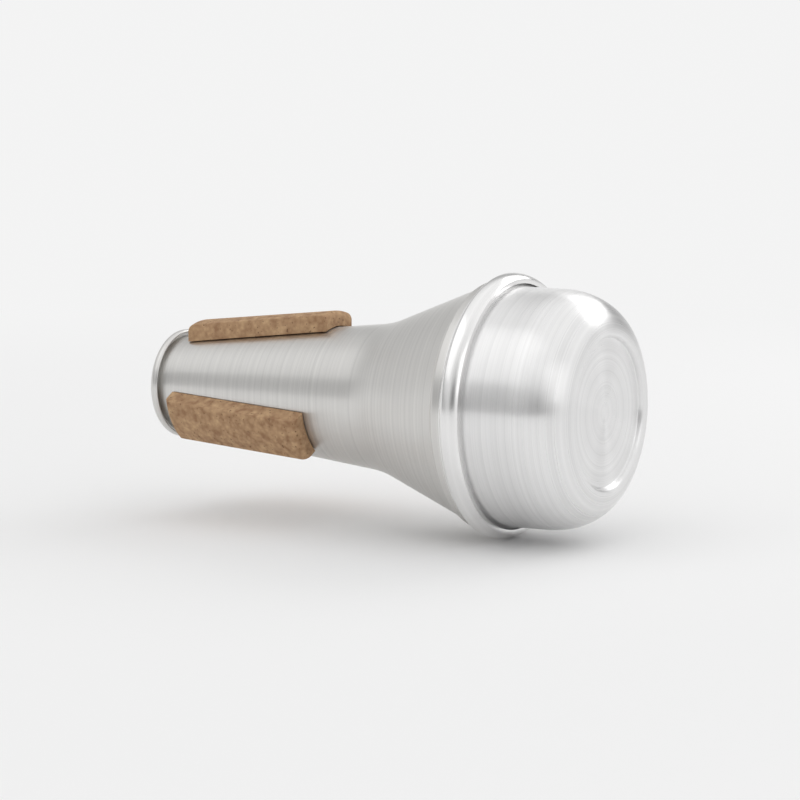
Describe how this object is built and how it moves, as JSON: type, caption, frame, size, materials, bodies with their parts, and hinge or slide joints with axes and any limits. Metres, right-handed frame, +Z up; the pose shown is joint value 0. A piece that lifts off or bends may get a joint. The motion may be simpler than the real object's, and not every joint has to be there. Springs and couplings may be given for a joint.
{
  "type": "trumpet straight mute",
  "caption": "Straight mute for a trumpet: a spun aluminium cone with cork strips on its neck and a cup-shaped end with a recessed face, joined by a crimped ring.",
  "frame": {"origin": "centre of the recessed flat end of the cap", "axes": "+X along the mute's axis, out of the cap's end; the open mouth is at -X; +Z is up as the mute lies; one cork strip points to +Z"},
  "size_m": [0.129, 0.0662, 0.0662],
  "materials": {
    "body_aluminium": "satin, spun",
    "cap_aluminium": "satin, turned",
    "ring_aluminium": "bright, burnished",
    "cork": "natural cork"
  },
  "bodies": {
    "root": {"cone_body": "body_aluminium", "end_cap": "cap_aluminium", "clamp_ring": "ring_aluminium", "cork_strip_1": "cork", "cork_strip_2": "cork", "cork_strip_3": "cork"}
  },
  "joints": []
}
